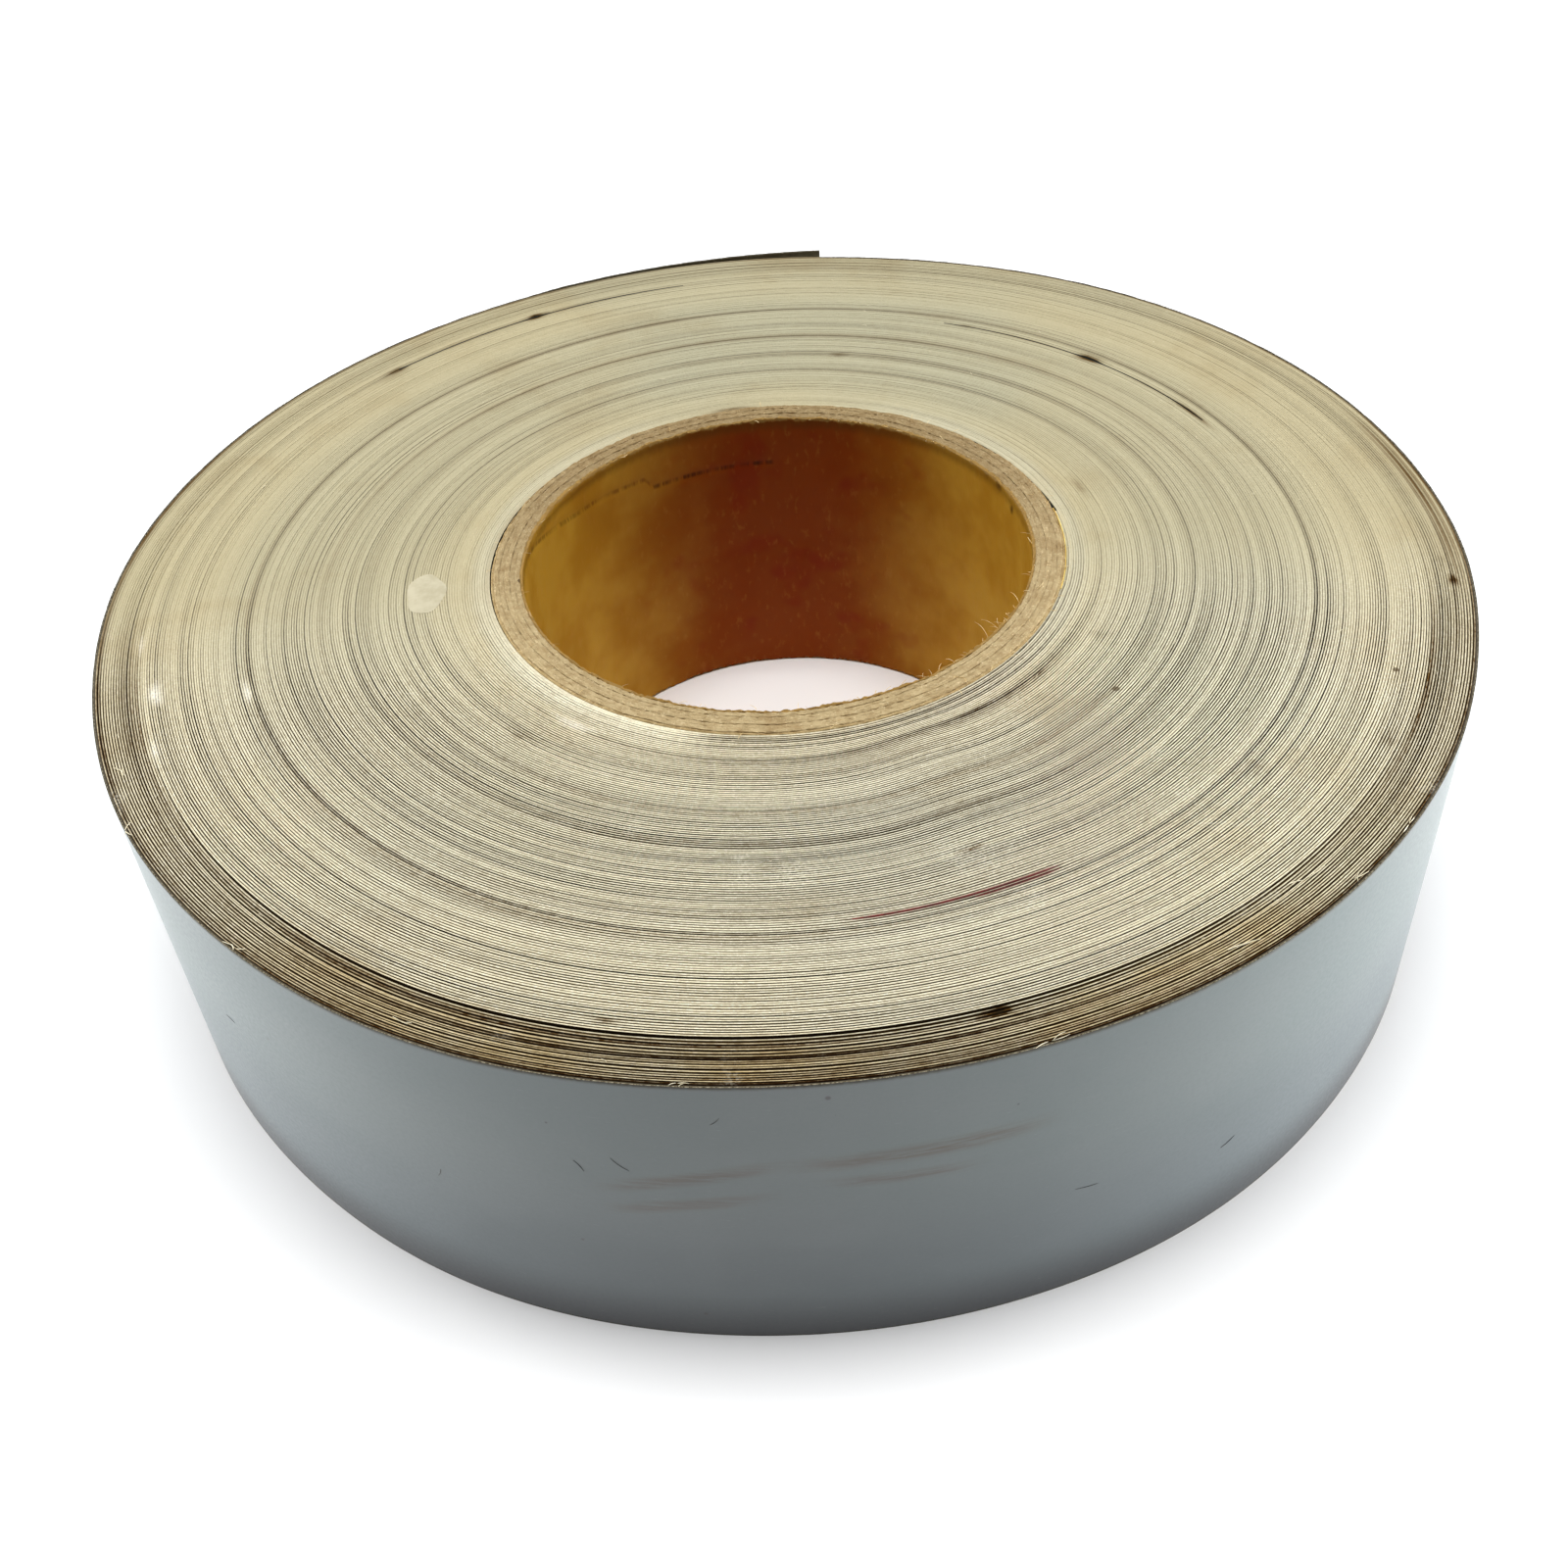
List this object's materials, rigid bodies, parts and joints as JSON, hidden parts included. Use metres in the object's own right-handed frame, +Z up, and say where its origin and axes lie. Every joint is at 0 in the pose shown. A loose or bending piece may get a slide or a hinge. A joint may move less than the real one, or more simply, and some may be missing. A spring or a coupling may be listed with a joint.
{
  "type": "duct tape roll",
  "caption": "Wide roll of grey cloth-backed duct tape wound on a spiral paper core, with splices between turns and a free end that lifts and curls away from the roll.",
  "frame": {"origin": "centre of the core's bore on the bottom face, the face the roll lies on", "axes": "+Z up along the bore's axis, from the bottom face to the top face; -Y towards the viewer; the tape's free end is at +Y, with its tip at 83 degrees from +X"},
  "size_m": [0.201, 0.2029, 0.05],
  "materials": {
    "core_liner": "matte amber kraft paper, stained",
    "core_board": "matte raw chipboard, rough cut edge",
    "core_wrap": "matte kraft paper",
    "start_tab": "satin amber adhesive paper",
    "wound_tape": "cut cloth tape edges, cream with dark adhesive lines",
    "splicing_tape": "dark satin film",
    "marker_film": "red film",
    "tape_film": "satin blue-grey polyethylene",
    "tape_cloth": "matte cream woven backing",
    "tape_adhesive": "tacky dark grey-brown adhesive"
  },
  "bodies": {
    "roll": {"core_inner_liner": "core_liner", "core_outer_liner": "core_wrap", "core_ply_1": "core_board", "core_ply_2": "core_board", "core_ply_3": "core_board", "core_ply_4": "core_board", "core_ply_5": "core_board", "outer_turn_adhesive": "tape_adhesive", "outer_turn_cloth": "tape_cloth", "outer_turn_film": "tape_film", "splice_marker_long_leaf": "marker_film", "splice_marker_short_leaf": "marker_film", "splice_patch_1": "splicing_tape", "splice_patch_2": "splicing_tape", "start_tab": "start_tab", "tape_length_1": "wound_tape", "tape_length_2": "wound_tape", "tape_length_3": "wound_tape"},
    "tail_1": {"tail_film_1": "tape_film", "tail_cloth_1": "tape_cloth", "tail_adhesive_1": "tape_adhesive"},
    "tail_2": {"tail_film_2": "tape_film", "tail_cloth_2": "tape_cloth", "tail_adhesive_2": "tape_adhesive"},
    "tail_3": {"tail_film_3": "tape_film", "tail_cloth_3": "tape_cloth", "tail_adhesive_3": "tape_adhesive"},
    "tail_4": {"tail_film_4": "tape_film", "tail_cloth_4": "tape_cloth", "tail_adhesive_4": "tape_adhesive"}
  },
  "joints": [
    {"name": "tail_curl_1", "type": "hinge", "parent": "roll", "child": "tail_1", "pos_m": [-0.04581, 0.09014, 0.025], "axis": [0, 0, 1], "range_deg": [-0.7, 30]},
    {"name": "tail_curl_2", "type": "hinge", "parent": "tail_1", "child": "tail_2", "pos_m": [-0.03199, 0.09606, 0.025], "axis": [0, 0, 1], "range_deg": [-0.7, 30]},
    {"name": "tail_curl_3", "type": "hinge", "parent": "tail_2", "child": "tail_3", "pos_m": [-0.0175, 0.10009, 0.025], "axis": [0, 0, 1], "range_deg": [-0.7, 30]},
    {"name": "tail_curl_4", "type": "hinge", "parent": "tail_3", "child": "tail_4", "pos_m": [-0.00261, 0.10217, 0.025], "axis": [0, 0, 1], "range_deg": [-0.7, 30]}
  ],
  "couplings": [
    {"joint": "tail_curl_2", "follows": "tail_curl_1", "ratio": 1},
    {"joint": "tail_curl_3", "follows": "tail_curl_1", "ratio": 1},
    {"joint": "tail_curl_4", "follows": "tail_curl_1", "ratio": 1}
  ]
}
